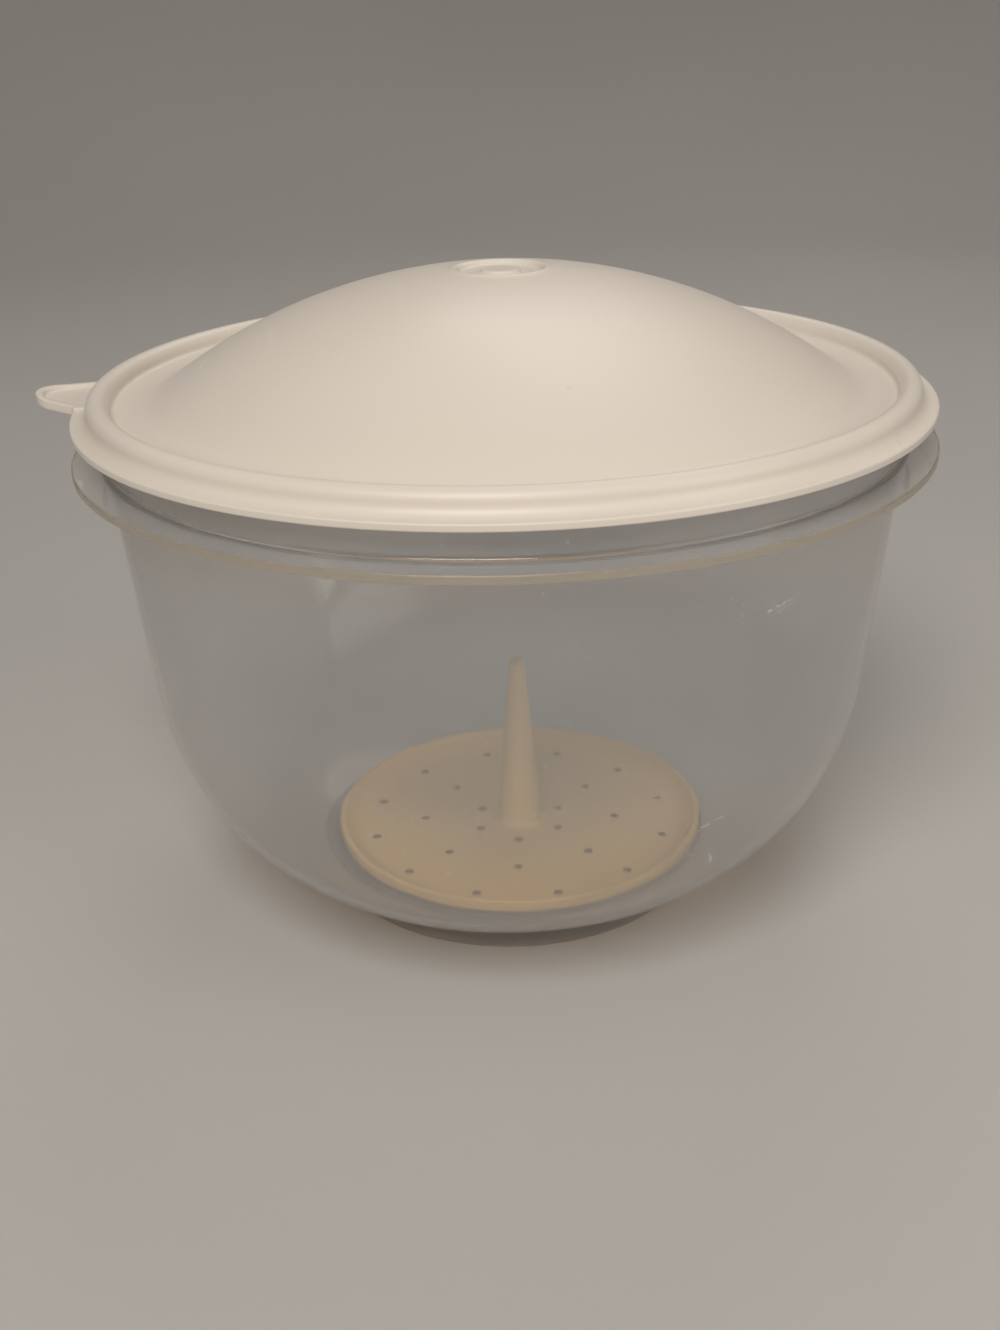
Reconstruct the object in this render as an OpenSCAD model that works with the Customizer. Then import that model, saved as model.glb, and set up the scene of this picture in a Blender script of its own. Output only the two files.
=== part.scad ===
/* [Bowl] */
// Outside diameter of the bowl at its mouth
mouth_d = 197; // [170:1:230]
// Height from the underside of the bowl's floor to the underside of the grip flange
bowl_depth = 114.5; // [98:0.5:140]
// Wall thickness of the bowl
wall_t = 1.6; // [1.2:0.1:2.2]
// Draft of the bowl's straight wall, in degrees
wall_draft = 5.4; // [3:0.1:7]
// Radius of the shoulder, where the straight wall starts to turn in
shoulder_r = 71; // [62:1:90]
// Steepness in degrees at which the shoulder hands over to the belly
shoulder_end = 27; // [20:1:32]
// Radius of the belly, which runs down to the flat floor
belly_r = 59; // [50:1:66]

/* [Grip flange and rim] */
// How far the flange that the bowl is lifted by stands out past the wall
flange_w = 7.7; // [5:0.1:14]
// Thickness of the flange
flange_t = 2; // [1.4:0.1:3]
// Height of the rim above the top of the flange
rim_h = 13.5; // [10:0.5:20]
// Fillet between the flange and the rim
flange_fillet = 1.2; // [0.6:0.1:2]

/* [Foot ring] */
// Outside diameter of the foot ring where it stands on the table
foot_d = 98.7; // [84:0.1:104]
// Clear height under the bowl's floor
foot_h = 4.5; // [3:0.5:8]
// Width of the foot ring's standing face
foot_w = 2.2; // [1.6:0.1:4]
// Slope of the foot ring's outer face, in degrees
foot_draft = 22; // [10:1:30]

/* [Lid] */
// Thickness of the lid's shell
lid_t = 1.4; // [1:0.1:2]
// Clearance all round between the lid and the bowl's rim
lid_gap = 0.3; // [0.2:0.05:0.5]
// Depth of the gutter inside the lid's ridge
gutter_depth = 4; // [3.2:0.1:6]
// Width of the gutter's floor, from the ridge to the foot of the dome
gutter_w = 6; // [5:0.5:12]
// Height of the dome above the gutter's floor
dome_rise = 28.3; // [25:0.1:38]
// Slope of the dome's straight flank, in degrees
dome_slope = 32.5; // [26:0.1:34]
// Fillet between the dome's flank and the gutter's floor
dome_fillet = 8; // [4:0.5:12]
// Height from the brim's underside to the top of the ridge
skirt_h = 7.1; // [6:0.1:9]
// How far the brim stands out past the ridge
brim_w = 3.85; // [3:0.05:6]
// Thickness of the brim at its edge
brim_t = 1.75; // [1.2:0.05:2.5]

/* [Crown well] */
// Outside diameter of the low ring round the crown well
well_d = 26; // [20:0.5:36]
// Width of that ring
well_ring_w = 3.2; // [2:0.1:5]
// Height of that ring above the dome around it
well_stand = 0.4; // [0.2:0.1:1]
// Depth of the well below the top of the ring
well_depth = 1.1; // [0.6:0.1:1.6]
// Diameter of the low boss in the middle of the well
boss_d = 9.4; // [6:0.1:11]
// Height of that boss above the floor of the well
boss_h = 0.7; // [0.4:0.1:0.9]

/* [Pull tab] */
// How far the pull tab reaches past the brim
tab_reach = 12; // [10:0.2:20]
// Width of the tab where it leaves the brim
tab_w = 26; // [24:0.5:36]
// Radius of the tab's rounded end
tab_end_r = 10; // [8:0.5:12]
// Thickness of the tab, rim included
tab_t = 2.4; // [1.8:0.1:3]
// Width of the raised rim round the tab's thumb dish
tab_rim_w = 2; // [1.4:0.1:3]
// Depth of the thumb dish
dish_depth = 0.9; // [0.4:0.1:1.1]
// Radius of the upward sweep of the tab, seen from the side
tab_sweep_r = 60; // [45:5:120]
// Fillet where the tab's sides meet the brim
tab_fillet = 2.5; // [1.5:0.1:4]

/* [Spiked insert] */
// Outside diameter of the insert
insert_d = 99.8; // [92:0.2:104]
// Thickness of the insert's plate and flank
insert_t = 1.4; // [1:0.1:2]
// Height of the insert's edge above its plate
insert_lip_h = 3.9; // [3:0.1:5]
// Width of the sloping flank between the plate and the edge
insert_lip_w = 7.6; // [6:0.1:10]
// Height of the insert's outer skirt
insert_skirt_h = 3.2; // [2.4:0.1:4]
// Thickness of the insert's outer skirt
insert_skirt_t = 1.3; // [1:0.1:1.6]
// How far the loose insert has slid from the middle of the bowl
insert_slide = 1.8; // [0:0.1:2.4]
// Clearance between the insert and the bowl's inside
insert_gap = 0.3; // [0.2:0.05:0.5]

/* [Core spike] */
// Height of the spike above the insert's plate
spike_h = 49.3; // [40:0.5:60]
// Diameter of the spike at the plate
spike_base_d = 12.4; // [10:0.1:15]
// Diameter of the spike under its rounded tip
spike_tip_d = 4.3; // [3.6:0.1:6]
// Wall thickness of the hollow spike
spike_t = 1.3; // [1:0.1:1.5]
// Fillet at the spike's base
spike_fillet = 1.6; // [1:0.1:3]

/* [Drain holes] */
// Diameter of each drain hole
hole_d = 2.4; // [1.6:0.1:3]
// Distance from the spike's base to the middle of the inner ring of holes
hole_start = 6.1; // [5:0.1:8]
// Distance from the flank to the middle of the outer ring of holes
hole_end = 1.8; // [1.7:0.1:4]
// Holes in the inner ring
inner_holes = 6; // [4:1:8]
// Holes in the middle ring
middle_holes = 8; // [6:1:12]
// Holes in the outer ring
outer_holes = 12; // [8:1:18]

/* [Hidden] */
$fn = 144;

// Rounding of the moulded edges, and of the bowl's rim
EDGE = 0.4;
RIM_EDGE = 0.5;
// Straight steps in each arc: the spike's tip, small rounds, long curves and the tab
TIP_ARC_STEPS = 8;
ROUND_STEPS = 4;
LONG_ARC_STEPS = 24;
TAB_STEPS = 10;
// Overlap that joins solids which meet inside one moulding
JOIN = 0.6;

// Heights of the bowl, counted from the table
FLOOR_UNDER = foot_h;
FLANGE_UNDER = foot_h + bowl_depth;
FLANGE_TOP = FLANGE_UNDER + flange_t;
RIM_TOP = FLANGE_TOP + rim_h;

// Outline of the bowl's wall
MOUTH_R = mouth_d / 2;
FLANGE_R = wall_r(FLANGE_TOP) + flange_w;
SHOULDER_DROP = shoulder_r * (sin(shoulder_end) - sin(wall_draft));
SHOULDER_IN = shoulder_r * (cos(wall_draft) - cos(shoulder_end));
BELLY_DROP = belly_r * (1 - sin(shoulder_end));
BELLY_Z = FLOOR_UNDER + belly_r;
SHOULDER_TOP_Z = FLOOR_UNDER + BELLY_DROP + SHOULDER_DROP;
SHOULDER_TOP_R = wall_r(SHOULDER_TOP_Z);
SHOULDER_C = [
    SHOULDER_TOP_R - shoulder_r * cos(wall_draft),
    SHOULDER_TOP_Z + shoulder_r * sin(wall_draft)
];
BELLY_C = [
    SHOULDER_TOP_R - SHOULDER_IN - belly_r * cos(shoulder_end),
    BELLY_Z
];

// Foot ring
FOOT_R = foot_d / 2;
FOOT_IN_R = FOOT_R - foot_w;
FOOT_DIR = [sin(foot_draft), cos(foot_draft)];
FOOT_HIT = line_on_circle([FOOT_R, 0], FOOT_DIR, BELLY_C, belly_r);
FOOT_HIT_A = atan2(FOOT_HIT[1] - BELLY_C[1], FOOT_HIT[0] - BELLY_C[0]);
FOOT_IN_A = -acos((FOOT_IN_R - BELLY_C[0]) / belly_r);

// Lid, set over the bowl's rim
RIM_IN_R = MOUTH_R - wall_t;
GROOVE_OUT_R = MOUTH_R + lid_gap;
GROOVE_TOP = RIM_TOP + lid_gap;
RIDGE_TOP = GROOVE_TOP + lid_t;
GUTTER_Z = RIDGE_TOP - gutter_depth;
GUTTER_UNDER = GUTTER_Z - lid_t;
// The plug inside the rim follows the wall's draft, so it lifts out straight
GROOVE_IN_R = plug_r(GROOVE_TOP);
PLUG_LOW_R = plug_r(GUTTER_UNDER);
RIDGE_OUT_R = GROOVE_OUT_R + lid_t;
RIDGE_IN_R = PLUG_LOW_R - lid_t;
RIDGE_ROUND = (RIDGE_OUT_R - RIDGE_IN_R) / 2;
RIDGE_Z = RIDGE_TOP - RIDGE_ROUND;
BRIM_R = RIDGE_OUT_R + brim_w;
BRIM_UNDER = RIDGE_TOP - skirt_h;
BRIM_TOP = BRIM_UNDER + brim_t;
// The concave flare between ridge and brim, and the fillet of the gutter's outer
// corner, each as large as the walls beside them leave room for
FLARE_R = min(RIDGE_Z - BRIM_TOP, brim_w - 2 * EDGE);
GUTTER_FILLET = min(0.9, gutter_depth - RIDGE_ROUND);
// The groove's corners run round the rim's own rounded edge at the same clearance
GROOVE_ROUND = RIM_EDGE + lid_gap;
DOME_FOOT_R = RIDGE_IN_R - gutter_w;
CROWN_Z = GUTTER_Z + dome_rise;
// The flank stays less steep than a cap that runs straight into the gutter's fillet
DOME_A = min(dome_slope, 2 * atan(dome_rise / DOME_FOOT_R) - 0.5);
// Radius of the dome's cap that meets the straight flank without a kink
CAP_R = (DOME_FOOT_R * sin(DOME_A) - (dome_rise - dome_fillet) * cos(DOME_A) - dome_fillet)
    / (1 - cos(DOME_A));
CAP_C = [0, CROWN_Z - CAP_R];
FOOT_C = [DOME_FOOT_R, GUTTER_Z + dome_fillet];

// Crown well
WELL_R = well_d / 2;
WELL_IN_R = WELL_R - well_ring_w;
WELL_RIM_Z = CAP_C[1] + sqrt(CAP_R * CAP_R - WELL_R * WELL_R) + well_stand;
WELL_FLOOR_Z = WELL_RIM_Z - well_depth;
BOSS_R = boss_d / 2;
// Steepness in degrees of the well's side, of the ring's outer side and of the boss's side
WELL_SIDE_A = 60;
RING_SIDE_A = 30;
BOSS_SIDE_A = 70;

// Spiked insert
INSERT_R = insert_d / 2;
PLATE_R = INSERT_R - insert_lip_w;
PLATE_DROP = insert_lip_h + insert_t - insert_skirt_h;
// The insert comes down until its skirt or its plate meets the curved inside
SKIRT_Z = insert_gap + max(
    floor_z(INSERT_R + insert_slide, wall_t),
    floor_z(PLATE_R + insert_slide, wall_t) + PLATE_DROP
);
LIP_Z = SKIRT_Z + insert_skirt_h;
PLATE_TOP = LIP_Z - insert_lip_h;
PLATE_UNDER = PLATE_TOP - insert_t;
SPIKE_R = spike_base_d / 2;
TIP_R = spike_tip_d / 2;
SPIKE_LEAN = atan((SPIKE_R - TIP_R) / (spike_h - TIP_R));
CORE_H = spike_h - spike_t - EDGE;
CORE_TOP_Z = PLATE_TOP + CORE_H;
CORE_TOP_R = SPIKE_R - spike_t - CORE_H * tan(SPIKE_LEAN);
HOLE_IN_R = SPIKE_R + hole_start;
HOLE_OUT_R = PLATE_R - hole_end;
HOLE_RINGS = [
    [HOLE_IN_R, inner_holes, 180 / inner_holes],
    [(HOLE_IN_R + HOLE_OUT_R) / 2, middle_holes, 0],
    [HOLE_OUT_R, outer_holes, 180 / outer_holes]
];

// Outside radius of the straight drafted wall at height z
function wall_r(z) = MOUTH_R - (RIM_TOP - z) * tan(wall_draft);

// Outside radius of the lid's plug at height z
function plug_r(z) = wall_r(z) - wall_t - lid_gap;

// Height of the bowl's floor or belly at radius r, a distance inset inside its outer face
function floor_z(r, inset) =
    r <= BELLY_C[0] ? FLOOR_UNDER + inset
    : BELLY_C[1] - sqrt(pow(belly_r - inset, 2) - pow(r - BELLY_C[0], 2));

// Points of an arc about centre c from angle a0 to angle a1
function arc(c, r, a0, a1, steps) = [
    for (i = [0 : steps])
        let (a = a0 + (a1 - a0) * i / steps)
        [c[0] + r * cos(a), c[1] + r * sin(a)]
];

// First point at which the line from p along the unit vector u meets a circle
function line_on_circle(p, u, c, r) =
    let (
        b = (p[0] - c[0]) * u[0] + (p[1] - c[1]) * u[1],
        d = pow(p[0] - c[0], 2) + pow(p[1] - c[1], 2) - r * r,
        t = -b - sqrt(b * b - d)
    )
    [p[0] + t * u[0], p[1] + t * u[1]];

// Wall line from the shoulder's top down to the floor, a distance inset inside the outer face
function wall_curve(inset, floor_a) = concat(
    arc(SHOULDER_C, shoulder_r - inset, -wall_draft, -shoulder_end, ROUND_STEPS + 2),
    arc(BELLY_C, belly_r - inset, -shoulder_end, floor_a, LONG_ARC_STEPS)
);

module bowl_section() {
    fillet_r = wall_r(FLANGE_TOP + flange_fillet);
    polygon(concat(
        [[0, FLOOR_UNDER]],
        FOOT_IN_R > BELLY_C[0]
            ? arc(BELLY_C, belly_r, -90, FOOT_IN_A, ROUND_STEPS)
            : [[FOOT_IN_R, FLOOR_UNDER]],
        arc([FOOT_IN_R + EDGE, EDGE], EDGE, 180, 270, ROUND_STEPS),
        arc([FOOT_R - EDGE, EDGE], EDGE, 270, 360 - foot_draft, ROUND_STEPS),
        arc(BELLY_C, belly_r, FOOT_HIT_A, -shoulder_end, LONG_ARC_STEPS),
        arc(SHOULDER_C, shoulder_r, -shoulder_end, -wall_draft, ROUND_STEPS + 2),
        [[wall_r(FLANGE_UNDER), FLANGE_UNDER]],
        arc([FLANGE_R - EDGE, FLANGE_UNDER + EDGE], EDGE, -90, 0, ROUND_STEPS),
        arc([FLANGE_R - EDGE, FLANGE_TOP - EDGE], EDGE, 0, 90, ROUND_STEPS),
        arc([fillet_r + flange_fillet, FLANGE_TOP + flange_fillet], flange_fillet, 270, 180, ROUND_STEPS),
        arc([MOUTH_R - RIM_EDGE, RIM_TOP - RIM_EDGE], RIM_EDGE, 0, 90, ROUND_STEPS),
        arc([RIM_IN_R + RIM_EDGE, RIM_TOP - RIM_EDGE], RIM_EDGE, 90, 180, ROUND_STEPS),
        wall_curve(wall_t, -90),
        [[0, FLOOR_UNDER + wall_t]]
    ));
}

// One moulding: tapered wall, belly, flat floor, foot ring and grip flange
module bowl() {
    color([0.72, 0.77, 0.82, 0.45])
        rotate_extrude()
            bowl_section();
}

// Upper face of the lid from the axis out to the gutter
function lid_top() = concat(
    [[0, WELL_FLOOR_Z + boss_h]],
    arc([BOSS_R - EDGE, WELL_FLOOR_Z + boss_h - EDGE], EDGE, 90, 90 - BOSS_SIDE_A, ROUND_STEPS),
    [[BOSS_R + EDGE, WELL_FLOOR_Z], [WELL_IN_R - EDGE, WELL_FLOOR_Z]],
    arc(
        [WELL_R - well_ring_w / 2, WELL_RIM_Z - well_ring_w / 2], well_ring_w / 2,
        90 + WELL_SIDE_A, 90 - RING_SIDE_A, ROUND_STEPS + 2
    ),
    arc(CAP_C, CAP_R, 90 - asin((WELL_R + EDGE) / CAP_R), 90 - DOME_A, LONG_ARC_STEPS),
    arc(FOOT_C, dome_fillet, 270 - DOME_A, 270, ROUND_STEPS)
);

// Underside of the lid from the gutter back to the axis
function lid_under() = concat(
    arc(FOOT_C, dome_fillet + lid_t, 270, 270 - DOME_A, ROUND_STEPS),
    arc(CAP_C, CAP_R - lid_t, 90 - DOME_A, 90 - asin((WELL_R + lid_t) / CAP_R), LONG_ARC_STEPS),
    [[WELL_R, WELL_FLOOR_Z - lid_t], [0, WELL_FLOOR_Z - lid_t]]
);

module lid_section() {
    ridge_c = [RIDGE_OUT_R - RIDGE_ROUND, RIDGE_Z];
    polygon(concat(
        lid_top(),
        arc([RIDGE_IN_R - GUTTER_FILLET, GUTTER_Z + GUTTER_FILLET], GUTTER_FILLET, 270, 360, ROUND_STEPS),
        arc(ridge_c, RIDGE_ROUND, 180, 0, LONG_ARC_STEPS),
        arc([RIDGE_OUT_R + FLARE_R, BRIM_TOP + FLARE_R], FLARE_R, 180, 270, ROUND_STEPS + 2),
        arc([BRIM_R - EDGE, BRIM_TOP - EDGE], EDGE, 90, 0, ROUND_STEPS),
        arc([BRIM_R - EDGE, BRIM_UNDER + EDGE], EDGE, 0, -90, ROUND_STEPS),
        [[GROOVE_OUT_R, BRIM_UNDER]],
        arc([GROOVE_OUT_R - GROOVE_ROUND, GROOVE_TOP - GROOVE_ROUND], GROOVE_ROUND, 0, 90, ROUND_STEPS),
        arc([GROOVE_IN_R + GROOVE_ROUND, GROOVE_TOP - GROOVE_ROUND], GROOVE_ROUND, 90, 180, ROUND_STEPS),
        [[PLUG_LOW_R, GUTTER_UNDER]],
        lid_under()
    ));
}

// Plan of the pull tab, drawn towards +X and pulled in by inset from its edge
module tab_plan(inset) {
    root = [BRIM_R - EDGE, tab_w / 2];
    end_c = [BRIM_R + tab_reach - tab_end_r, 0];
    span = norm(root - end_c);
    turn = atan2(root[1] - end_c[1], root[0] - end_c[0]);
    touch_a = turn - acos(tab_end_r / span);
    out = [cos(touch_a), sin(touch_a)];
    along = [-out[1], out[0]];
    corner = root + tab_fillet * out;
    slope = corner * along;
    slip = -slope - sqrt(slope * slope - corner * corner + pow(BRIM_R + tab_fillet, 2));
    fillet_c = corner + slip * along;
    brim_a = atan2(fillet_c[1], fillet_c[0]);
    // The root lies under the flare, inside the ridge's wall
    root_x = RIDGE_OUT_R - lid_t / 2;
    half = concat(
        arc(end_c, tab_end_r - inset, 0, touch_a, TAB_STEPS),
        arc(fillet_c, tab_fillet + inset, touch_a + 180, brim_a + 180, ROUND_STEPS)
    );
    count = len(half);
    polygon(concat(
        half,
        [[root_x, half[count - 1][1]], [root_x, -half[count - 1][1]]],
        [for (i = [count - 1 : -1 : 1]) [half[i][0], -half[i][1]]]
    ));
}

// Side view of the tab: level at the brim, then sweeping up, between two faces
module tab_sweep(low, high) {
    sweep_c = [BRIM_R, BRIM_UNDER + tab_sweep_r];
    end_a = asin((tab_reach + JOIN) / (tab_sweep_r - high));
    root_x = RIDGE_OUT_R - lid_t;
    translate([0, tab_w])
        rotate([90, 0, 0])
            linear_extrude(2 * tab_w)
                polygon(concat(
                    [[root_x, BRIM_UNDER + low]],
                    arc(sweep_c, tab_sweep_r - low, 270, 270 + end_a, TAB_STEPS),
                    arc(sweep_c, tab_sweep_r - high, 270 + end_a, 270, TAB_STEPS),
                    [[root_x, BRIM_UNDER + high]]
                ));
}

// Tongue with a raised rim round a shallow thumb dish
module pull_tab() {
    // Taller than the sweep can carry the tab's tip
    prism_h = tab_reach + 2 * tab_t;
    difference() {
        intersection() {
            translate([0, 0, BRIM_UNDER - tab_t])
                linear_extrude(prism_h)
                    tab_plan(0);
            tab_sweep(0, tab_t);
        }
        intersection() {
            translate([0, 0, BRIM_UNDER - tab_t])
                linear_extrude(prism_h)
                    tab_plan(tab_rim_w);
            tab_sweep(tab_t - dish_depth, tab_t + JOIN);
        }
    }
}

// One moulding: domed cap, gutter, ridge over the rim, flared brim and pull tab
module lid() {
    color([0.93, 0.90, 0.85])
        union() {
            rotate_extrude()
                lid_section();
            rotate([0, 0, 180])
                pull_tab();
        }
}

module insert_section() {
    plate_end = [PLATE_R, PLATE_TOP];
    flank_r = (pow(insert_lip_w - insert_skirt_t, 2) + pow(insert_lip_h, 2)) / (2 * insert_lip_h);
    flank_c = [PLATE_R, PLATE_TOP + flank_r];
    flank_a = asin((insert_lip_w - insert_skirt_t) / flank_r);
    under_a = asin((insert_lip_w - insert_skirt_t - JOIN) / (flank_r + insert_t));
    polygon(concat(
        [[0, CORE_TOP_Z]],
        [[0, PLATE_TOP + spike_h]],
        arc([0, PLATE_TOP + spike_h - TIP_R], TIP_R, 90, SPIKE_LEAN, TIP_ARC_STEPS),
        arc([spike_fillet_x(), PLATE_TOP + spike_fillet], spike_fillet, 180 + SPIKE_LEAN, 270, ROUND_STEPS),
        [plate_end],
        arc(flank_c, flank_r, 270, 270 + flank_a, ROUND_STEPS + 2),
        arc([INSERT_R - EDGE, LIP_Z - EDGE], EDGE, 90, 0, ROUND_STEPS),
        [[INSERT_R, SKIRT_Z], [INSERT_R - insert_skirt_t, SKIRT_Z]],
        arc(flank_c, flank_r + insert_t, 270 + under_a, 270, ROUND_STEPS),
        [[SPIKE_R - spike_t, PLATE_UNDER], [CORE_TOP_R, CORE_TOP_Z]]
    ));
}

// Radius at which the base fillet's centre touches both the spike's flank and the plate
function spike_fillet_x() =
    SPIKE_R - spike_fillet * tan(SPIKE_LEAN) + spike_fillet / cos(SPIKE_LEAN);

// One moulding: drilled plate, sloping flank, outer skirt and hollow core spike
module spiked_insert() {
    color([0.95, 0.93, 0.89])
        translate([insert_slide, 0, 0])
            difference() {
                rotate_extrude()
                    insert_section();
                for (ring = HOLE_RINGS, i = [0 : ring[1] - 1])
                    rotate([0, 0, ring[2] + 360 * i / ring[1]])
                        translate([ring[0], 0, PLATE_UNDER - JOIN])
                            cylinder(h = insert_t + 2 * JOIN, d = hole_d, $fn = 32);
            }
}

bowl();
lid();
spiked_insert();
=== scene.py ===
"""Looks of the lettuce keeper: sheer bowl, domed lid with pull tab, and spiked drain insert.

The size classes hold millimetres, as the CAD source does. Meshes are in metres in the row frame:
+Z up along the bowl's axis from the table, pull tab towards -X, photograph taken from -Y.
"""

import logging
import math
from dataclasses import dataclass, field
from enum import Enum

import bmesh
import bpy
from mathutils import Matrix, Vector


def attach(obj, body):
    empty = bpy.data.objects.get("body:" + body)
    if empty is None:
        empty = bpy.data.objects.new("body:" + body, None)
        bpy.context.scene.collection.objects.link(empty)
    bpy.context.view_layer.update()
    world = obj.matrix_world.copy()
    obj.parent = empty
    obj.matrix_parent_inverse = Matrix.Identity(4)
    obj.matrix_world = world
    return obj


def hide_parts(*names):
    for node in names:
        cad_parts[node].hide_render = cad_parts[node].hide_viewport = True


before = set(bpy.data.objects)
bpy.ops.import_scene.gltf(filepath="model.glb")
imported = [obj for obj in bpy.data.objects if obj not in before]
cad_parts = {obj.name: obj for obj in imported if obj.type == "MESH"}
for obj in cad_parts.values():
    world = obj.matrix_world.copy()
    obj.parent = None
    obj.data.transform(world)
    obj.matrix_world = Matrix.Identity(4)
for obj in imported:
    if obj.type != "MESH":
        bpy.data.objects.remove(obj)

LOG = logging.getLogger("lettuce_keeper")
MM = 0.001
ON_AXIS = 1e-9
SAME_LENGTH = 0.02
Point = tuple[float, float]
Colour = tuple[float, float, float, float]


class Slot(Enum):
    """Material slots of the record."""

    BOWL = "sheer_plastic"
    LID = "lid_plastic"
    INSERT = "insert_plastic"


class Body(Enum):
    """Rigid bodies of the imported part."""

    BOWL = "bowl_body"
    LID = "lid_body"


@dataclass(frozen=True)
class Corner:
    """A corner of an outline that gets rounded.

    Args:
        at: the sharp corner, as (radius, height) in millimetres.
        radius: rounding in millimetres.
        steps: straight steps in the round.
    """

    at: Point
    radius: float
    steps: int = 6


def arc(centre: Point, radius: float, start: float, end: float, steps: int) -> list[Point]:
    """Points on an arc.

    Args:
        centre: centre of the arc.
        radius: its radius.
        start: first angle in degrees.
        end: last angle in degrees.
        steps: number of straight steps.

    Returns:
        steps + 1 points from start to end.
    """
    turn = math.radians(end - start)
    first = math.radians(start)
    return [
        (
            centre[0] + radius * math.cos(first + turn * i / steps),
            centre[1] + radius * math.sin(first + turn * i / steps),
        )
        for i in range(steps + 1)
    ]


def rounded(items: list[Point | Corner]) -> list[Point]:
    """Replaces each Corner by an arc that is tangent to its two neighbours.

    Args:
        items: plain points and corners, in order round the outline.

    Returns:
        Plain points.
    """
    places = [Vector(i.at if isinstance(i, Corner) else i) for i in items]
    out: list[Point] = []
    for k, item in enumerate(items):
        if not isinstance(item, Corner):
            out.append(item)
            continue
        here = places[k]
        back = (places[k - 1] - here).normalized()
        ahead = (places[(k + 1) % len(items)] - here).normalized()
        half = back.angle(ahead) / 2
        middle = here + (back + ahead).normalized() * (item.radius / math.sin(half))
        reach = item.radius / math.tan(half)
        a, b = here + back * reach - middle, here + ahead * reach - middle
        sweep = a.angle_signed(b)
        for i in range(item.steps + 1):
            turned = Matrix.Rotation(-sweep * i / item.steps, 2) @ a
            out.append(tuple(middle + turned))
    return out


def held(points: list[Point], hold: float = 0.15, longest: float = 5.0) -> list[Point]:
    """Adds points near the ends of straight stretches, so that smooth shading stays flat between them.

    The steps of an arc, which have a neighbour of the same length, stay as they are.

    Args:
        points: an outline that starts and ends on the axis, or a closed one.
        hold: distance of the added points from the ends, in millimetres.
        longest: longest step that is left, in millimetres.

    Returns:
        The outline with the added points.
    """
    out: list[Point] = []
    pairs = list(zip(points, points[1:] + points[:1]))
    spans = [math.dist(a, b) for a, b in pairs]
    for k, (a, b) in enumerate(pairs):
        out.append(a)
        span = spans[k]
        near = (spans[k - 1], spans[(k + 1) % len(spans)])
        in_arc = any(abs(span - other) < SAME_LENGTH * span for other in near)
        on_axis = a[0] < ON_AXIS and b[0] < ON_AXIS
        if in_arc or on_axis or span < 6 * hold:
            continue
        stops = [hold / span]
        count = max(1, math.ceil(span / longest))
        stops += [i / count for i in range(1, count)]
        stops.append(1 - hold / span)
        out += [(a[0] + (b[0] - a[0]) * t, a[1] + (b[1] - a[1]) * t) for t in stops]
    return out


def revolved(points: list[Point], segments: int, closed: bool = True) -> bmesh.types.BMesh:
    """Turns an outline about the Z axis into a mesh.

    Args:
        points: (radius, height) in millimetres. Points on the axis become poles.
        segments: steps round the axis.
        closed: whether the last point joins the first, as it does round a solid.

    Returns:
        A new bmesh in metres.
    """
    bm = bmesh.new()
    rings: list[list[bmesh.types.BMVert]] = []
    for r, z in points:
        if r < ON_AXIS:
            rings.append([bm.verts.new((0.0, 0.0, z * MM))])
            continue
        rings.append(
            [
                bm.verts.new((r * MM * math.cos(t), r * MM * math.sin(t), z * MM))
                for t in (math.tau * i / segments for i in range(segments))
            ]
        )
    for lower, upper in zip(rings, rings[1:] + (rings[:1] if closed else [])):
        if len(lower) == 1 and len(upper) == 1:
            continue
        for i in range(segments):
            j = (i + 1) % segments
            if len(lower) == 1:
                bm.faces.new((lower[0], upper[j], upper[i]))
            elif len(upper) == 1:
                bm.faces.new((lower[i], lower[j], upper[0]))
            else:
                bm.faces.new((lower[i], lower[j], upper[j], upper[i]))
    bmesh.ops.recalc_face_normals(bm, faces=bm.faces[:])
    return bm


def to_object(bm: bmesh.types.BMesh, name: str) -> bpy.types.Object:
    """Makes a linked object from a bmesh and frees the bmesh.

    Args:
        bm: the mesh, in metres in the row frame.
        name: name of the object and its mesh.

    Returns:
        The new object.
    """
    mesh = bpy.data.meshes.new(name)
    bm.to_mesh(mesh)
    bm.free()
    piece = bpy.data.objects.new(name, mesh)
    bpy.context.scene.collection.objects.link(piece)
    return piece


def combined(piece: bpy.types.Object, other: bpy.types.Object, operation: str) -> None:
    """Applies a boolean with other to piece, and removes other.

    Args:
        piece: the object that stays, with its mesh changed.
        other: the object that is added or cut away.
        operation: UNION or DIFFERENCE.
    """
    step = piece.modifiers.new("combine", "BOOLEAN")
    step.operation = operation
    step.solver = "MANIFOLD"
    step.object = other
    graph = bpy.context.evaluated_depsgraph_get()
    made = bpy.data.meshes.new_from_object(piece.evaluated_get(graph))
    piece.modifiers.clear()
    old = piece.data
    made.name = old.name + "_made"
    piece.data = made
    bpy.data.meshes.remove(old)
    spare = other.data
    bpy.data.objects.remove(other)
    bpy.data.meshes.remove(spare)


def smoothed(piece: bpy.types.Object, sharp_from: float = 36.0) -> None:
    """Shades a piece smooth, with edges over an angle kept sharp.

    Args:
        piece: the object.
        sharp_from: angle in degrees.
    """
    piece.data.shade_smooth()
    piece.data.set_sharp_from_angle(angle=math.radians(sharp_from))


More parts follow.
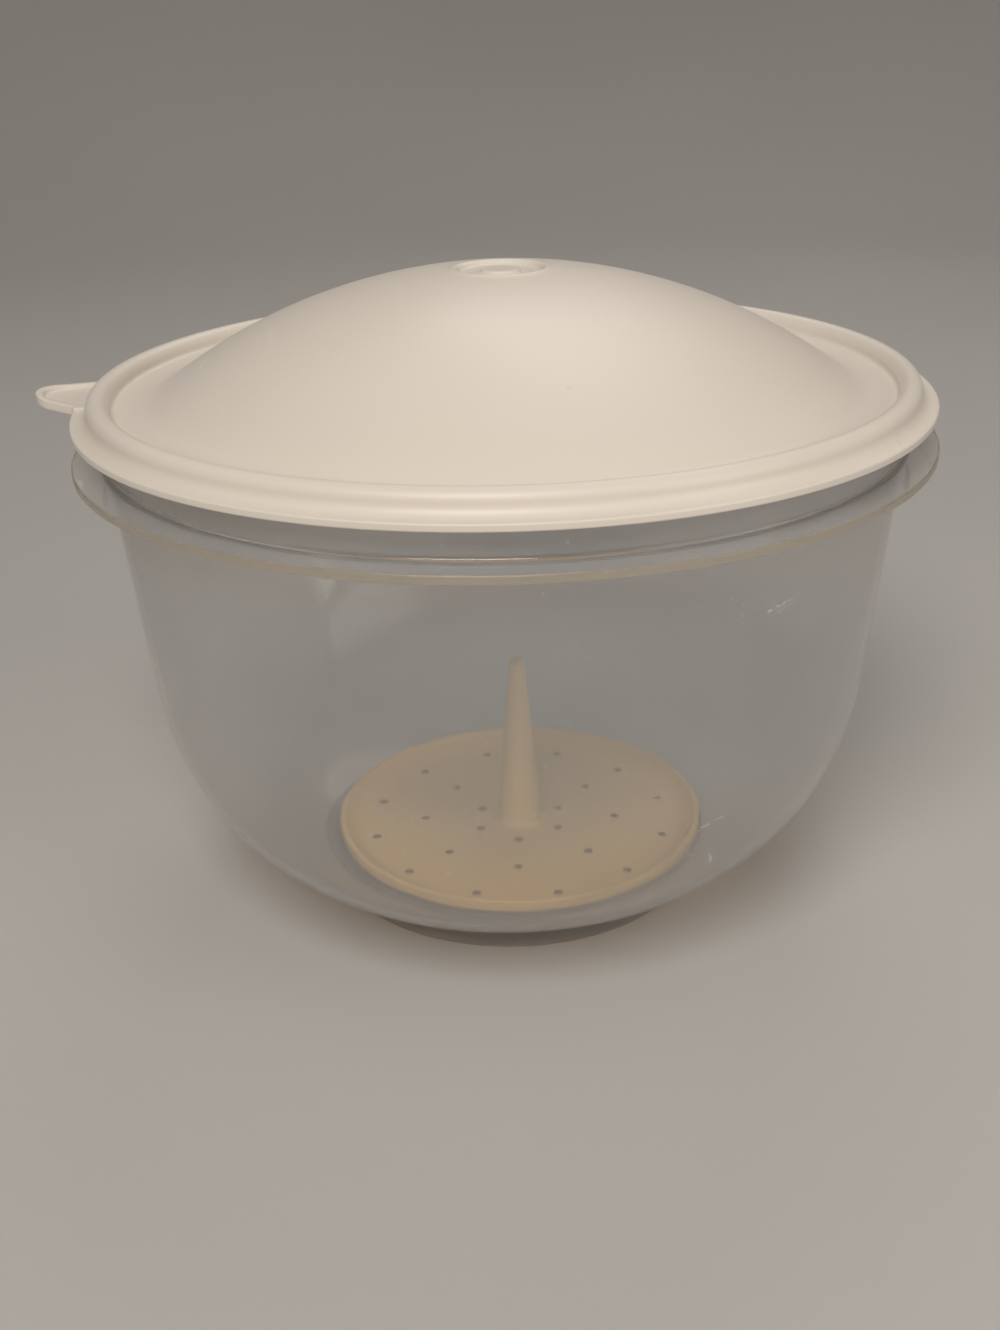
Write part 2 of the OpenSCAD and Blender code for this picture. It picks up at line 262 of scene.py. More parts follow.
@dataclass(frozen=True)
class BowlSizes:
    """Sizes of the bowl in millimetres, with the names of the CAD source."""

    mouth_d: float = 197.0
    bowl_depth: float = 114.5
    wall_t: float = 1.6
    wall_draft: float = 5.4
    shoulder_r: float = 71.0
    shoulder_end: float = 27.0
    belly_r: float = 59.0
    flange_w: float = 7.7
    flange_t: float = 2.0
    rim_h: float = 13.5
    flange_fillet: float = 1.2
    foot_d: float = 98.7
    foot_h: float = 4.5
    foot_w: float = 2.2
    foot_draft: float = 22.0
    edge: float = 0.4
    rim_edge: float = 0.5
    under_fillet: float = 0.8

    @property
    def flange_under(self) -> float:
        """Height of the flange's underside."""
        return self.foot_h + self.bowl_depth

    @property
    def flange_top(self) -> float:
        """Height of the flange's top."""
        return self.flange_under + self.flange_t

    @property
    def rim_top(self) -> float:
        """Height of the rim's top."""
        return self.flange_top + self.rim_h

    @property
    def flange_r(self) -> float:
        """Outside radius of the flange."""
        return self.wall_r(self.flange_top) + self.flange_w

    @property
    def shoulder_top(self) -> Point:
        """Place where the straight wall hands over to the shoulder.

        Returns:
            (radius, height) in millimetres.
        """
        turn = math.sin(math.radians(self.shoulder_end)) - math.sin(math.radians(self.wall_draft))
        belly = self.belly_r * (1 - math.sin(math.radians(self.shoulder_end)))
        z = self.foot_h + belly + self.shoulder_r * turn
        return self.wall_r(z), z

    @property
    def shoulder_c(self) -> Point:
        """Centre of the shoulder's arc.

        Returns:
            (radius, height) in millimetres.
        """
        r, z = self.shoulder_top
        draft = math.radians(self.wall_draft)
        return r - self.shoulder_r * math.cos(draft), z + self.shoulder_r * math.sin(draft)

    @property
    def belly_c(self) -> Point:
        """Centre of the belly's arc.

        Returns:
            (radius, height) in millimetres.
        """
        turn = math.cos(math.radians(self.wall_draft)) - math.cos(math.radians(self.shoulder_end))
        r = self.shoulder_top[0] - self.shoulder_r * turn
        return r - self.belly_r * math.cos(math.radians(self.shoulder_end)), self.foot_h + self.belly_r

    def wall_r(self, z: float) -> float:
        """Finds the outside radius of the straight wall.

        Args:
            z: height in millimetres.

        Returns:
            The radius in millimetres.
        """
        return self.mouth_d / 2 - (self.rim_top - z) * math.tan(math.radians(self.wall_draft))

    def floor_z(self, r: float, inset: float) -> float:
        """Finds the height of the floor or belly.

        Args:
            r: radius in millimetres.
            inset: distance inside the outer face.

        Returns:
            The height in millimetres.
        """
        cr, cz = self.belly_c
        if r <= cr:
            return self.foot_h + inset
        return cz - math.sqrt((self.belly_r - inset) ** 2 - (r - cr) ** 2)


@dataclass(frozen=True)
class LidSizes:
    """Sizes of the lid in millimetres, with the names of the CAD source."""

    bowl: BowlSizes = field(default_factory=BowlSizes)
    lid_t: float = 1.4
    lid_gap: float = 0.3
    gutter_depth: float = 4.0
    gutter_w: float = 6.0
    dome_rise: float = 28.3
    dome_slope: float = 32.5
    dome_fillet: float = 8.0
    skirt_h: float = 7.1
    brim_w: float = 3.85
    brim_t: float = 1.75
    well_d: float = 26.0
    well_ring_w: float = 3.2
    well_stand: float = 0.4
    well_depth: float = 1.1
    boss_d: float = 9.4
    boss_h: float = 0.7
    tab_reach: float = 12.0
    tab_w: float = 26.0
    tab_end_r: float = 10.0
    tab_t: float = 2.4
    tab_rim_w: float = 2.0
    dish_depth: float = 0.9
    tab_sweep_r: float = 60.0
    tab_fillet: float = 2.5
    edge: float = 0.4
    gutter_fillet: float = 0.9

    @property
    def groove_out_r(self) -> float:
        """Outer radius of the groove over the rim."""
        return self.bowl.mouth_d / 2 + self.lid_gap

    @property
    def groove_top(self) -> float:
        """Height of the groove's top."""
        return self.bowl.rim_top + self.lid_gap

    @property
    def ridge_top(self) -> float:
        """Height of the ridge's top."""
        return self.groove_top + self.lid_t

    @property
    def gutter_z(self) -> float:
        """Height of the gutter's floor."""
        return self.ridge_top - self.gutter_depth

    @property
    def gutter_under(self) -> float:
        """Height of the underside below the gutter."""
        return self.gutter_z - self.lid_t

    def plug_r(self, z: float) -> float:
        """Finds the outside radius of the plug inside the rim.

        Args:
            z: height in millimetres.

        Returns:
            The radius in millimetres.
        """
        return self.bowl.wall_r(z) - self.bowl.wall_t - self.lid_gap

    @property
    def ridge_out_r(self) -> float:
        """Outer radius of the ridge."""
        return self.groove_out_r + self.lid_t

    @property
    def ridge_in_r(self) -> float:
        """Inner radius of the ridge."""
        return self.plug_r(self.gutter_under) - self.lid_t

    @property
    def ridge_round(self) -> float:
        """Radius of the ridge's round back."""
        return (self.ridge_out_r - self.ridge_in_r) / 2

    @property
    def brim_r(self) -> float:
        """Outside radius of the brim."""
        return self.ridge_out_r + self.brim_w

    @property
    def brim_under(self) -> float:
        """Height of the brim's underside."""
        return self.ridge_top - self.skirt_h

    @property
    def brim_top(self) -> float:
        """Height of the brim's top."""
        return self.brim_under + self.brim_t

    @property
    def dome_foot_r(self) -> float:
        """Radius at which the gutter meets the dome's fillet."""
        return self.ridge_in_r - self.gutter_w

    @property
    def crown_z(self) -> float:
        """Height of the dome's crown."""
        return self.gutter_z + self.dome_rise

    @property
    def cap_r(self) -> float:
        """Radius of the dome's cap, which meets the flank without a kink.

        Returns:
            The radius in millimetres.
        """
        slope = math.radians(self.dome_slope)
        rise = (self.dome_rise - self.dome_fillet) * math.cos(slope)
        return (self.dome_foot_r * math.sin(slope) - rise - self.dome_fillet) / (1 - math.cos(slope))

    @property
    def cap_c(self) -> Point:
        """Centre of the dome's cap."""
        return 0.0, self.crown_z - self.cap_r

    @property
    def well_rim_z(self) -> float:
        """Height of the ring round the crown well."""
        return self.cap_c[1] + math.sqrt(self.cap_r**2 - (self.well_d / 2) ** 2) + self.well_stand


@dataclass(frozen=True)
class InsertSizes:
    """Sizes of the spiked insert in millimetres, with the names of the CAD source."""

    bowl: BowlSizes = field(default_factory=BowlSizes)
    insert_d: float = 99.8
    insert_t: float = 1.4
    insert_lip_h: float = 3.9
    insert_lip_w: float = 7.6
    insert_skirt_h: float = 3.2
    insert_skirt_t: float = 1.3
    insert_slide: float = 1.8
    insert_gap: float = 0.3
    spike_h: float = 49.3
    spike_base_d: float = 12.4
    spike_tip_d: float = 4.3
    spike_t: float = 1.3
    spike_fillet: float = 1.6
    hole_d: float = 2.4
    hole_start: float = 6.1
    hole_end: float = 1.8
    hole_counts: tuple[int, int, int] = (6, 8, 12)
    edge: float = 0.4

    @property
    def plate_r(self) -> float:
        """Radius of the flat plate."""
        return self.insert_d / 2 - self.insert_lip_w

    @property
    def skirt_z(self) -> float:
        """Height of the skirt's lower edge, a gap above the bowl.

        Returns:
            The height in millimetres.
        """
        drop = self.insert_lip_h + self.insert_t - self.insert_skirt_h
        wall = self.bowl.wall_t
        return self.insert_gap + max(
            self.bowl.floor_z(self.insert_d / 2 + self.insert_slide, wall),
            self.bowl.floor_z(self.plate_r + self.insert_slide, wall) + drop,
        )

    @property
    def lip_z(self) -> float:
        """Height of the skirt's upper edge."""
        return self.skirt_z + self.insert_skirt_h

    @property
    def plate_top(self) -> float:
        """Height of the plate's top."""
        return self.lip_z - self.insert_lip_h

    @property
    def lean(self) -> float:
        """Lean of the spike's flank in degrees."""
        tip = self.spike_tip_d / 2
        return math.degrees(math.atan((self.spike_base_d / 2 - tip) / (self.spike_h - tip)))

    def holes(self) -> list[tuple[float, float]]:
        """Places of the drain holes.

        Returns:
            (radius in millimetres, angle in radians) of each.
        """
        inner = self.spike_base_d / 2 + self.hole_start
        outer = self.plate_r - self.hole_end
        rings = zip((inner, (inner + outer) / 2, outer), self.hole_counts, (0.5, 0.0, 0.5))
        return [(r, math.tau * (i + lead) / n) for r, n, lead in rings for i in range(n)]


class Nodes:
    """A small helper that adds and links shader nodes in one tree."""

    def __init__(self, tree: bpy.types.NodeTree) -> None:
        """Keeps the tree that the nodes go into.

        Args:
            tree: a material's or a group's tree.
        """
        self.tree = tree

    def put(self, socket: bpy.types.NodeSocket, value: object) -> None:
        """Links a socket into another, or sets its value.

        Args:
            socket: the input socket.
            value: an output socket, or a plain value.
        """
        if isinstance(value, bpy.types.NodeSocket):
            self.tree.links.new(value, socket)
        else:
            socket.default_value = value

    def add(self, kind: str, settings: dict | None = None, **inputs: object) -> bpy.types.Node:
        """Adds a node.

        Args:
            kind: the node's type name.
            settings: attributes of the node.
            **inputs: values or sockets, by socket name with _ for each space, or by in0, in1 and so on.

        Returns:
            The new node.
        """
        node = self.tree.nodes.new(kind)
        for key, value in (settings or {}).items():
            setattr(node, key, value)
        for key, value in inputs.items():
            place = int(key[2:]) if key[2:].isdigit() else key.replace("_", " ")
            self.put(node.inputs[place], value)
        return node

    def maths(
        self, operation: str, a: object, b: object = 0.0, clamp: bool = False
    ) -> bpy.types.NodeSocket:
        """Adds a Math node.

        Args:
            operation: what it does.
            a: first value or socket.
            b: second value or socket.
            clamp: whether the result stays within 0 and 1.

        Returns:
            The result's socket.
        """
        settings = {"operation": operation, "use_clamp": clamp}
        return self.add("ShaderNodeMath", settings, in0=a, in1=b).outputs[0]

    def vector(self, operation: str, a: object, b: object = (0.0, 0.0, 0.0)) -> bpy.types.Node:
        """Adds a Vector Math node.

        Args:
            operation: what it does.
            a: first vector or socket.
            b: second vector or socket.

        Returns:
            The node.
        """
        return self.add("ShaderNodeVectorMath", {"operation": operation}, in0=a, in1=b)

    def ranged(
        self, value: object, low: float, high: float, to_low: float = 0.0, to_high: float = 1.0
    ) -> bpy.types.NodeSocket:
        """Maps a value from one range to another, smoothly and clamped.

        Args:
            value: the socket to map.
            low: start of its range.
            high: end of its range.
            to_low: what the start becomes.
            to_high: what the end becomes.

        Returns:
            The result's socket.
        """
        node = self.add(
            "ShaderNodeMapRange",
            {"interpolation_type": "SMOOTHSTEP"},
            Value=value,
            From_Min=low,
            From_Max=high,
            To_Min=to_low,
            To_Max=to_high,
        )
        return node.outputs[0]

    def mixed(self, factor: object, a: object, b: object) -> bpy.types.NodeSocket:
        """Mixes two colours.

        Args:
            factor: share of the second.
            a: first colour or socket.
            b: second colour or socket.

        Returns:
            The result's socket.
        """
        return self.add("ShaderNodeMix", {"data_type": "RGBA"}, in0=factor, in6=a, in7=b).outputs[2]


class NodeGroup:
    """Base of the shader node groups. Each makes its tree once."""

    name = ""
    sockets_in: tuple[tuple[str, str, object], ...] = ()
    sockets_out: tuple[tuple[str, str], ...] = ()

    def tree(self) -> bpy.types.NodeTree:
        """Makes the group's tree the first time, and finds it after that.

        Returns:
            The tree.
        """
        found = bpy.data.node_groups.get(self.name)
        if found is not None:
            return found
        tree = bpy.data.node_groups.new(self.name, "ShaderNodeTree")
        for name, kind, value in self.sockets_in:
            socket = tree.interface.new_socket(name, in_out="INPUT", socket_type=kind)
            if value is not None:
                socket.default_value = value
        for name, kind in self.sockets_out:
            tree.interface.new_socket(name, in_out="OUTPUT", socket_type=kind)
        nodes = Nodes(tree)
        start = tree.nodes.new("NodeGroupInput")
        end = tree.nodes.new("NodeGroupOutput")
        for name, socket in self.fill(nodes, start).items():
            tree.links.new(socket, end.inputs[name])
        return tree

    def fill(self, nodes: Nodes, start: bpy.types.Node) -> dict[str, bpy.types.NodeSocket]:
        """Makes the group's nodes.

        Args:
            nodes: helper on the group's tree.
            start: the group's input node.

        Returns:
            Output socket by output name.
        """
        raise NotImplementedError

    def use(self, nodes: Nodes, **inputs: object) -> bpy.types.Node:
        """Adds the group to a tree.

        Args:
            nodes: helper on that tree.
            **inputs: values or sockets, as in Nodes.add.

        Returns:
            The group's node.
        """
        return nodes.add("ShaderNodeGroup", {"node_tree": self.tree()}, **inputs)


class FineSpeckle(NodeGroup):
    """Small specks of dust and pigment."""

    name = "fine_speckle"
    sockets_in = (
        ("Position", "NodeSocketVector", None),
        ("Per Metre", "NodeSocketFloat", 600.0),
        ("Share", "NodeSocketFloat", 0.2),
    )
    sockets_out = (("Mask", "NodeSocketFloat"),)
    full_to = 0.10
    gone_at = 0.24

    def fill(self, nodes: Nodes, start: bpy.types.Node) -> dict[str, bpy.types.NodeSocket]:
        """Makes the nodes of the specks.

        Args:
            nodes: helper on the group's tree.
            start: the group's input node.

        Returns:
            Output socket by output name.
        """
        cells = nodes.add(
            "ShaderNodeTexVoronoi",
            {"feature": "F1"},
            Vector=start.outputs["Position"],
            Scale=start.outputs["Per Metre"],
        )
        spot = nodes.ranged(cells.outputs["Distance"], self.full_to, self.gone_at, 1.0, 0.0)
        pick = nodes.add("ShaderNodeSeparateColor", None, Color=cells.outputs["Color"])
        chosen = nodes.maths("LESS_THAN", pick.outputs[0], start.outputs["Share"])
        return {"Mask": nodes.maths("MULTIPLY", spot, chosen)}


class HairScratches(NodeGroup):
    """Fine hair scratches from washing and stacking, in two directions."""

    name = "hair_scratches"
    sockets_in = (("Position", "NodeSocketVector", None), ("Amount", "NodeSocketFloat", 0.5))
    sockets_out = (("Mask", "NodeSocketFloat"),)
    directions = ((0.35, 22.0, 1.3), (-0.9, 30.0, 4.1))
    along_per_metre = 26.0
    line_range = (0.70, 0.735)
    patches_per_metre = 22.0
    patch_range = (0.42, 0.66)

    def fill(self, nodes: Nodes, start: bpy.types.Node) -> dict[str, bpy.types.NodeSocket]:
        """Makes the nodes of the scratches.

        Args:
            nodes: helper on the group's tree.
            start: the group's input node.

        Returns:
            Output socket by output name.
        """
        where = start.outputs["Position"]
        along = self.along_per_metre
        total = None
        for turn, stretch, seed in self.directions:
            turned = nodes.add(
                "ShaderNodeMapping",
                None,
                Vector=where,
                Location=(seed, seed * 0.7, seed * 0.3),
                Rotation=(turn, turn * 0.8, turn * 1.7),
                Scale=(stretch * along, along, stretch * along),
            )
            place = turned.outputs[0]
            lines = nodes.add("ShaderNodeTexNoise", None, Vector=place, Scale=1.0, Detail=1.0)
            mask = nodes.ranged(lines.outputs[0], *self.line_range)
            total = mask if total is None else nodes.maths("MAXIMUM", total, mask)
        scale = self.patches_per_metre
        patches = nodes.add("ShaderNodeTexNoise", None, Vector=where, Scale=scale, Detail=0.0)
        scratch = nodes.maths("MULTIPLY", total, nodes.ranged(patches.outputs[0], *self.patch_range))
        return {"Mask": nodes.maths("MULTIPLY", scratch, start.outputs["Amount"], clamp=True)}


class SoftCloud(NodeGroup):
    """Slow, cloudy change across a moulding, from 0 to 1."""

    name = "soft_cloud"
    sockets_in = (("Position", "NodeSocketVector", None), ("Per Metre", "NodeSocketFloat", 18.0))
    sockets_out = (("Mask", "NodeSocketFloat"),)

    def fill(self, nodes: Nodes, start: bpy.types.Node) -> dict[str, bpy.types.NodeSocket]:
        """Makes the nodes of the cloud.

        Args:
            nodes: helper on the group's tree.
            start: the group's input node.

        Returns:
            Output socket by output name.
        """
        noise = nodes.add(
            "ShaderNodeTexNoise",
            None,
            Vector=start.outputs["Position"],
            Scale=start.outputs["Per Metre"],
            Detail=1.0,
        )
        return {"Mask": nodes.ranged(noise.outputs[0], 0.3, 0.7)}


class MouldedGrain(NodeGroup):
    """Height of the faint grain and slow ripple of a moulded surface, in metres."""

    name = "moulded_grain"
    sockets_in = (
        ("Position", "NodeSocketVector", None),
        ("Grain Per Metre", "NodeSocketFloat", 1400.0),
        ("Grain Height", "NodeSocketFloat", 0.000004),
        ("Ripple Height", "NodeSocketFloat", 0.00003),
    )
    sockets_out = (("Height", "NodeSocketFloat"),)

    def fill(self, nodes: Nodes, start: bpy.types.Node) -> dict[str, bpy.types.NodeSocket]:
        """Makes the nodes of the grain and the ripple.

        Args:
            nodes: helper on the group's tree.
            start: the group's input node.

        Returns:
            Output socket by output name.
        """
        place = start.outputs["Position"]
        fine = nodes.add(
            "ShaderNodeTexNoise", None, Vector=place, Scale=start.outputs["Grain Per Metre"], Detail=1.0
        )
        slow = nodes.add("ShaderNodeTexNoise", None, Vector=place, Scale=26.0, Detail=0.0)
        grain = nodes.maths("MULTIPLY", fine.outputs[0], start.outputs["Grain Height"])
        ripple = nodes.maths("MULTIPLY", slow.outputs[0], start.outputs["Ripple Height"])
        return {"Height": nodes.maths("ADD", grain, ripple)}


class Streak(NodeGroup):
    """One straight scuff between two points, which may taper towards its end."""

    name = "streak"
    sockets_in = (
        ("Position", "NodeSocketVector", None),
        ("From", "NodeSocketVector", (0.0, 0.0, 0.0)),
        ("To", "NodeSocketVector", (0.0, 0.0, 0.01)),
        ("Width", "NodeSocketFloat", 0.0004),
        ("End Width", "NodeSocketFloat", 0.0004),
        ("Strength", "NodeSocketFloat", 1.0),
    )
    sockets_out = (("Mask", "NodeSocketFloat"),)
    full_to = 0.35

    def fill(self, nodes: Nodes, start: bpy.types.Node) -> dict[str, bpy.types.NodeSocket]:
        """Makes the nodes of the scuff.

        Args:
            nodes: helper on the group's tree.
            start: the group's input node.

        Returns:
            Output socket by output name.
        """
        span = nodes.vector("SUBTRACT", start.outputs["To"], start.outputs["From"]).outputs[0]
        away = nodes.vector("SUBTRACT", start.outputs["Position"], start.outputs["From"]).outputs[0]
        along = nodes.vector("DOT_PRODUCT", away, span).outputs["Value"]
        length = nodes.vector("DOT_PRODUCT", span, span).outputs["Value"]
        share = nodes.maths("DIVIDE", along, length, clamp=True)
        foot = nodes.add("ShaderNodeVectorMath", {"operation": "SCALE"}, in0=span, Scale=share)
        off = nodes.vector("DISTANCE", away, foot.outputs[0]).outputs["Value"]
        narrowing = nodes.maths("SUBTRACT", start.outputs["End Width"], start.outputs["Width"])
        width = nodes.maths("ADD", start.outputs["Width"], nodes.maths("MULTIPLY", narrowing, share))
        body = nodes.ranged(nodes.maths("DIVIDE", off, width), self.full_to, 1.0, 1.0, 0.0)
        return {"Mask": nodes.maths("MULTIPLY", body, start.outputs["Strength"])}


@dataclass(frozen=True)
class Scuff:
    """Place and size of one scuff, in metres in the row frame."""

    start: tuple[float, float, float]
    end: tuple[float, float, float]
    width: float
    end_width: float
    strength: float

    def draw(self, nodes: Nodes, where: bpy.types.NodeSocket) -> bpy.types.NodeSocket:
        """Adds the scuff to a tree.

        Args:
            nodes: helper on the tree.
            where: socket of the position.

        Returns:
            The mask's socket.
        """
        return Streak().use(
            nodes,
            Position=where,
            From=self.start,
            To=self.end,
            Width=self.width,
            End_Width=self.end_width,
            Strength=self.strength,
        ).outputs[0]


class WallScuffs(NodeGroup):
    """The scuffs that the photograph shows on the outside of the bowl's wall."""

    name = "wall_scuffs"
    sockets_in = (("Position", "NodeSocketVector", None),)
    sockets_out = (("Mask", "NodeSocketFloat"),)
    scuffs: tuple[Scuff, ...] = (
        Scuff((-0.0336, -0.0906, 0.1160), (-0.0349, -0.0895, 0.1088), 0.0042, 0.0006, 0.42),
        Scuff((0.0563, -0.0772, 0.1018), (0.0640, -0.0706, 0.1036), 0.0007, 0.0004, 0.85),
        Scuff((0.0584, -0.0754, 0.1008), (0.0616, -0.0728, 0.1020), 0.0005, 0.0004, 0.60),
        Scuff((0.0439, -0.0783, 0.0512), (0.0485, -0.0758, 0.0526), 0.0006, 0.0004, 0.80),
        Scuff((0.0408, -0.0771, 0.0434), (0.0462, -0.0727, 0.0414), 0.0004, 0.0005, 0.50),
        Scuff((0.0462, -0.0727, 0.0414), (0.0470, -0.0705, 0.0378), 0.0006, 0.0008, 0.85),
    )
    spots_per_metre = 1100.0
    worn_range = (0.30, 0.62)

    def fill(self, nodes: Nodes, start: bpy.types.Node) -> dict[str, bpy.types.NodeSocket]:
        """Makes the nodes of all the scuffs, worn away in spots.

        Args:
            nodes: helper on the group's tree.
            start: the group's input node.

        Returns:
            Output socket by output name.
        """
        place = start.outputs["Position"]
        total = None
        for scuff in self.scuffs:
            drawn = scuff.draw(nodes, place)
            total = drawn if total is None else nodes.maths("MAXIMUM", total, drawn)
        scale = self.spots_per_metre
        worn = nodes.add("ShaderNodeTexNoise", None, Vector=place, Scale=scale, Detail=0.0)
        left = nodes.ranged(worn.outputs[0], *self.worn_range)
        return {"Mask": nodes.maths("MULTIPLY", total, left)}


class EdgeBand(NodeGroup):
    """The outermost face of a round piece, found by its distance from the Z axis."""

    name = "edge_band"
    sockets_in = (("Position", "NodeSocketVector", None), ("Radius", "NodeSocketFloat", 0.1047))
    sockets_out = (("Mask", "NodeSocketFloat"),)
    fade = 0.0003

    def fill(self, nodes: Nodes, start: bpy.types.Node) -> dict[str, bpy.types.NodeSocket]:
        """Makes the nodes of the band.

        Args:
            nodes: helper on the group's tree.
            start: the group's input node.

        Returns:
            Output socket by output name.
        """
        flat = nodes.vector("MULTIPLY", start.outputs["Position"], (1.0, 1.0, 0.0)).outputs[0]
        radius = nodes.vector("LENGTH", flat).outputs["Value"]
        past = nodes.maths("SUBTRACT", radius, start.outputs["Radius"])
        return {"Mask": nodes.ranged(past, -self.fade, 0.0)}


class DrainPaintedShade(NodeGroup):
    """Masks for painted shade: the walls of the drain holes, and the middle of the plate."""

    name = "drain_residue"
    sockets_in = (
        ("Position", "NodeSocketVector", None),
        ("Normal", "NodeSocketVector", None),
        ("Axis", "NodeSocketVector", (0.0018, 0.0, 0.0)),
        ("Middle At", "NodeSocketVector", (0.0018, 0.012, 0.0)),
    )
    sockets_out = (("Holes", "NodeSocketFloat"), ("Middle", "NodeSocketFloat"))
    holes_from = 0.009
    holes_to = 0.0419
    steep_range = (0.35, 0.75)
    middle_shade_range = (0.014, 0.050)

    def fill(self, nodes: Nodes, start: bpy.types.Node) -> dict[str, bpy.types.NodeSocket]:
        """Makes the nodes of the two masks.

        Args:
            nodes: helper on the group's tree.
            start: the group's input node.

        Returns:
            Output socket by output name.
        """
        away = nodes.vector("SUBTRACT", start.outputs["Position"], start.outputs["Axis"]).outputs[0]
        flat = nodes.vector("MULTIPLY", away, (1.0, 1.0, 0.0)).outputs[0]
        radius = nodes.vector("LENGTH", flat).outputs["Value"]
        facing = nodes.vector("DOT_PRODUCT", start.outputs["Normal"], (0.0, 0.0, 1.0)).outputs["Value"]
        steep = nodes.ranged(nodes.maths("ABSOLUTE", facing), *self.steep_range, 1.0, 0.0)
        inside = nodes.maths("LESS_THAN", radius, self.holes_to)
        outside = nodes.maths("GREATER_THAN", radius, self.holes_from)
        # Painted shade: mask of the steep walls of the drain holes.
        holes = nodes.maths("MULTIPLY", steep, nodes.maths("MULTIPLY", inside, outside))
        off = nodes.vector("SUBTRACT", start.outputs["Position"], start.outputs["Middle At"]).outputs[0]
        wide = nodes.vector("LENGTH", nodes.vector("MULTIPLY", off, (1.0, 1.0, 0.0)).outputs[0])
        # Painted shade: mask of the middle of the plate, strongest round a point behind the axis and gone
        # towards the front edge.
        middle = nodes.ranged(wide.outputs["Value"], *self.middle_shade_range, 1.0, 0.0)
        return {"Holes": holes, "Middle": middle}


class Material:
    """Base of the finishes. Each makes one node material."""

    name = ""

    def build(self) -> bpy.types.Material:
        """Makes the material.

        Returns:
            The new material.
        """
        material = bpy.data.materials.new(self.name)
        material.use_nodes = True
        tree = material.node_tree
        tree.nodes.clear()
        nodes = Nodes(tree)
        place = nodes.add("ShaderNodeTexCoord")
        output = tree.nodes.new("ShaderNodeOutputMaterial")
        for socket, shader in self.shaders(nodes, place).items():
            tree.links.new(shader, output.inputs[socket])
        return material

    def shaders(self, nodes: Nodes, place: bpy.types.Node) -> dict[str, bpy.types.NodeSocket]:
        """Makes the material's nodes.

        Args:
            nodes: helper on the material's tree.
            place: the Texture Coordinate node; Object is in metres in the row frame.

        Returns:
            Shader socket by the name of the output's socket.
        """
        raise NotImplementedError


@dataclass(frozen=True)
class SheerPlastic(Material):
    """Milky see-through plastic of the bowl."""

    name: str = "sheer_plastic"
    clear: Colour = (0.94, 0.955, 0.965, 1.0)
    cloudy: Colour = (0.86, 0.88, 0.90, 1.0)
    # White of the scuffs and specks, and also the colour of their painted glow.
    chalk_and_glow: Colour = (1.0, 1.0, 1.0, 1.0)
    scatter: Colour = (0.76, 0.89, 1.0, 1.0)
    # Painted glow: a warm colour on the flange's outer face, standing in for light shining along the wall.
    edge: Colour = (0.92, 0.77, 0.59, 1.0)
    window: Colour = (0.90, 0.885, 0.86, 1.0)
    density: float = 165.0
    through: float = 0.93
    smooth: float = 0.035
    cloud_rough: float = 0.02
    edge_rough: float = 0.30
    scuffed: float = 0.35
    # Strength of the painted glow of the scuffs and specks.
    painted_glow: float = 0.09
    clouds_per_metre: float = 24.0
    cloud_share: float = 0.4
    specks_per_metre: float = 420.0
    speck_share: float = 0.12
    speck_strength: float = 0.5
    forward: float = 0.2

    def shaders(self, nodes: Nodes, place: bpy.types.Node) -> dict[str, bpy.types.NodeSocket]:
        """Makes the see-through surface, its scuffs, the painted glow on its scuffs and on the flange's
        outer face, and the milky inside.

        Args:
            nodes: helper on the material's tree.
            place: the Texture Coordinate node.

        Returns:
            Shader socket by the name of the output's socket.
        """
        where = place.outputs["Object"]
        cloud = SoftCloud().use(nodes, Position=where, Per_Metre=self.clouds_per_metre).outputs["Mask"]
        specks = FineSpeckle().use(
            nodes, Position=where, Per_Metre=self.specks_per_metre, Share=self.speck_share
        ).outputs["Mask"]
        scuffs = WallScuffs().use(nodes, Position=where).outputs["Mask"]
        marks = nodes.maths("MAXIMUM", scuffs, nodes.maths("MULTIPLY", specks, self.speck_strength))
        colour = nodes.mixed(nodes.maths("MULTIPLY", cloud, self.cloud_share), self.clear, self.cloudy)
        colour = nodes.mixed(marks, colour, self.chalk_and_glow)
        painted_glow_band = EdgeBand().use(nodes, Position=where).outputs["Mask"]
        # Painted glow on the flange's outer face.
        colour = nodes.mixed(painted_glow_band, colour, self.edge)
        rough = nodes.ranged(cloud, 0.0, 1.0, self.smooth, self.smooth + self.cloud_rough)
        rough = nodes.add("ShaderNodeMix", None, in0=painted_glow_band, in2=rough, in3=self.edge_rough).outputs[0]
        rough = nodes.add("ShaderNodeMix", None, in0=marks, in2=rough, in3=self.scuffed).outputs[0]
        plastic = nodes.add(
            "ShaderNodeBsdfPrincipled",
            None,
            Base_Color=colour,
            Roughness=rough,
            IOR=1.49,
            Transmission_Weight=self.through,
            # Painted glow: the scuffs and specks give off a little light of their own.
            Emission_Color=nodes.mixed(marks, (0.0, 0.0, 0.0, 1.0), self.chalk_and_glow),
            Emission_Strength=self.painted_glow,
        )
        window = nodes.add("ShaderNodeBsdfTransparent", None, Color=self.window)
        path = nodes.add("ShaderNodeLightPath")
        surface = nodes.add(
            "ShaderNodeMixShader",
            None,
            in0=path.outputs["Is Shadow Ray"],
            in1=plastic.outputs[0],
            in2=window.outputs[0],
        )
        haze = nodes.add(
            "ShaderNodeVolumeScatter",
            None,
            Color=self.scatter,
            Density=self.density,
            Anisotropy=self.forward,
        )
        return {"Surface": surface.outputs[0], "Volume": haze.outputs[0]}


